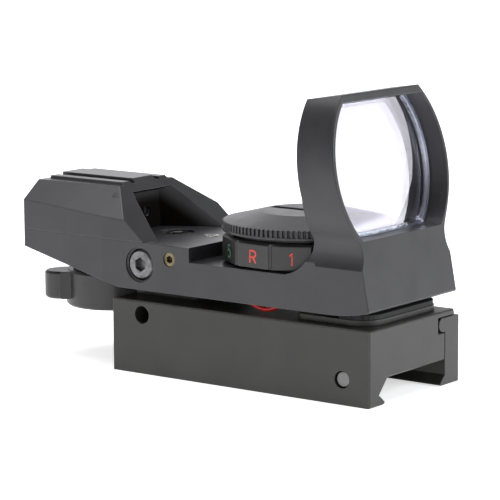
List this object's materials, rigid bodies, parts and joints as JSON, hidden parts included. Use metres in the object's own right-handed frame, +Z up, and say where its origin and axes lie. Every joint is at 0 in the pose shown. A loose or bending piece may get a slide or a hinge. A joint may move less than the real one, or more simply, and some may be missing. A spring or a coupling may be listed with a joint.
{
  "type": "red dot finder",
  "caption": "Open reflex sight: lens frame, sighting dot emitter hood, brightness dial over a coin cell, pattern selector and a rail clamp with windage and elevation screws.",
  "frame": {"origin": "middle of the footprint, level with the underside of the clamp jaws", "axes": "+Z up, -Y towards the target (the lens end), +Y towards the emitter hood, +X towards the clamp screw heads"},
  "size_m": [0.0366, 0.082, 0.055],
  "materials": {
    "base_black": "matt black anodised, slightly worn",
    "clamp_black": "matt black anodised",
    "steel_dark": "blackened steel with bright edges",
    "steel_bright": "bright steel",
    "brass": "bare brass",
    "housing_black": "satin black anodised",
    "dial_black": "matt black with red and green figures",
    "drum_black": "satin black plastic",
    "rubber": "matt",
    "lens_glass": "clear, with a partly reflecting coating",
    "adhesive": "clear cured adhesive",
    "circuit_board": "solder mask",
    "plastic_black": "moulded",
    "cell_steel": "nickel plated",
    "led_lens": "clear epoxy",
    "lead_red": "insulation",
    "lead_black": "insulation"
  },
  "bodies": {
    "base": {"base_block": "base_black", "pivot_screw": "steel_dark", "windage_yoke": "base_black", "yoke_pin": "steel_dark"},
    "clamp_jaw": {"clamp_plate": "clamp_black"},
    "front_clamp_screw": {"clamp_screw_front": "steel_dark"},
    "rear_clamp_screw": {"clamp_screw_rear": "steel_dark"},
    "swivel": {"swivel_plate": "steel_dark", "rubber_pad": "rubber"},
    "housing": {"main_body": "housing_black", "tilt_pin": "steel_dark", "lens": "lens_glass", "lens_bead": "adhesive", "switch_board": "circuit_board", "battery_holder": "plastic_black", "holder_screws": "steel_bright", "contact_spring": "brass", "coin_cell": "cell_steel", "emitter_hood": "housing_black", "emitter_window": "lens_glass", "hood_screws": "steel_bright", "led_holder": "plastic_black", "led": "led_lens", "dial_detent_ball": "steel_bright", "dial_detent_spring": "steel_bright", "drum_detent_ball": "steel_bright", "drum_detent_spring": "steel_bright", "windage_spring": "steel_bright", "spring_plug": "steel_dark", "red_lead": "lead_red", "black_lead": "lead_black"},
    "dial": {"brightness_dial": "dial_black", "contact_wiper": "brass"},
    "cap_seal": {"cap_o_ring": "rubber"},
    "cap": {"battery_cap": "housing_black"},
    "drum": {"reticle_drum": "drum_black", "reticle_masks": "steel_bright", "drum_clip": "steel_bright"},
    "windage_tip": {"windage_pad": "steel_bright"},
    "windage_adjuster": {"windage_screw": "steel_dark"},
    "elevation_tip": {"elevation_pad": "steel_bright"},
    "elevation_adjuster": {"elevation_screw": "steel_dark"},
    "windage_lock_tip": {"windage_lock_pellet": "brass"},
    "windage_lock": {"windage_lock_screw": "brass"},
    "elevation_lock_tip": {"elevation_lock_pellet": "brass"},
    "elevation_lock": {"elevation_lock_screw": "steel_bright"}
  },
  "joints": [
    {"name": "clamp_slide", "type": "slide", "parent": "base", "child": "clamp_jaw", "axis": [1, 0, 0], "range_m": [0, 0.0034]},
    {"name": "front_clamp_turn", "type": "hinge", "parent": "clamp_jaw", "child": "front_clamp_screw", "pos_m": [0, -0.035, 0.0046], "axis": [1, 0, 0], "range_deg": [0, 1749.07]},
    {"name": "rear_clamp_turn", "type": "hinge", "parent": "clamp_jaw", "child": "rear_clamp_screw", "pos_m": [0, 0.005, 0.0046], "axis": [1, 0, 0], "range_deg": [0, 1749.07]},
    {"name": "windage_yaw", "type": "hinge", "parent": "base", "child": "swivel", "pos_m": [0, -0.027, 0.0145], "axis": [0, 0, 1], "range_deg": [-0.75, 0.75], "deforming": ["windage_spring"]},
    {"name": "elevation_tilt", "type": "hinge", "parent": "swivel", "child": "housing", "pos_m": [0, -0.035, 0.0178], "axis": [1, 0, 0], "range_deg": [-0.75, 0.75]},
    {"name": "windage_feed", "type": "slide", "parent": "housing", "child": "windage_tip", "axis": [1, 0, 0], "range_m": [-0.0005, 0.0005]},
    {"name": "windage_turn", "type": "hinge", "parent": "windage_tip", "child": "windage_adjuster", "pos_m": [-0.012, 0.0114, 0.02075], "axis": [1, 0, 0], "range_deg": [-362.41, 362.41]},
    {"name": "elevation_feed", "type": "slide", "parent": "housing", "child": "elevation_tip", "axis": [0, 0, 1], "range_m": [-0.00064, 0.00064]},
    {"name": "elevation_turn", "type": "hinge", "parent": "elevation_tip", "child": "elevation_adjuster", "pos_m": [0, 0.0138, 0.02], "axis": [0, 0, 1], "range_deg": [-460.43, 460.43]},
    {"name": "windage_lock_feed", "type": "slide", "parent": "housing", "child": "windage_lock_tip", "axis": [-1, 0, 0], "range_m": [0, 0.001]},
    {"name": "windage_lock_turn", "type": "hinge", "parent": "windage_lock_tip", "child": "windage_lock", "pos_m": [-0.012, 0.0043, 0.0224], "axis": [-1, 0, 0], "range_deg": [0, 720.5]},
    {"name": "elevation_lock_feed", "type": "slide", "parent": "housing", "child": "elevation_lock_tip", "axis": [0, 0, 1], "range_m": [0, 0.001]},
    {"name": "elevation_lock_turn", "type": "hinge", "parent": "elevation_lock_tip", "child": "elevation_lock", "pos_m": [0, 0.0055, 0.024], "axis": [0, 0, 1], "range_deg": [0, 720.5]},
    {"name": "dial_turn", "type": "hinge", "parent": "housing", "child": "dial", "pos_m": [0, -0.0166, 0.025], "axis": [0, 0, 1], "continuous": true},
    {"name": "cap_rise", "type": "slide", "parent": "housing", "child": "cap_seal", "axis": [0, 0, 1], "range_m": [0, 0.0012]},
    {"name": "cap_turn", "type": "hinge", "parent": "cap_seal", "child": "cap", "pos_m": [0, -0.0166, 0.028], "axis": [0, 0, 1], "range_deg": [0, 576.5]},
    {"name": "selector_turn", "type": "hinge", "parent": "housing", "child": "drum", "pos_m": [0, 0.0296, 0.015], "axis": [0, 0, 1], "range_deg": [-90, 0]}
  ],
  "couplings": [
    {"joint": "front_clamp_turn", "follows": "clamp_slide", "rad_per_m": 8976},
    {"joint": "rear_clamp_turn", "follows": "clamp_slide", "rad_per_m": 8976},
    {"joint": "windage_feed", "follows": "windage_yaw", "m_per_rad": 0.0384},
    {"joint": "windage_turn", "follows": "windage_yaw", "ratio": 482.55},
    {"joint": "elevation_feed", "follows": "elevation_tilt", "m_per_rad": -0.0488},
    {"joint": "elevation_turn", "follows": "elevation_tilt", "ratio": -613.24},
    {"joint": "windage_lock_turn", "follows": "windage_lock_feed", "rad_per_m": 12566},
    {"joint": "elevation_lock_turn", "follows": "elevation_lock_feed", "rad_per_m": 12566},
    {"joint": "cap_turn", "follows": "cap_rise", "rad_per_m": 8377.6}
  ]
}
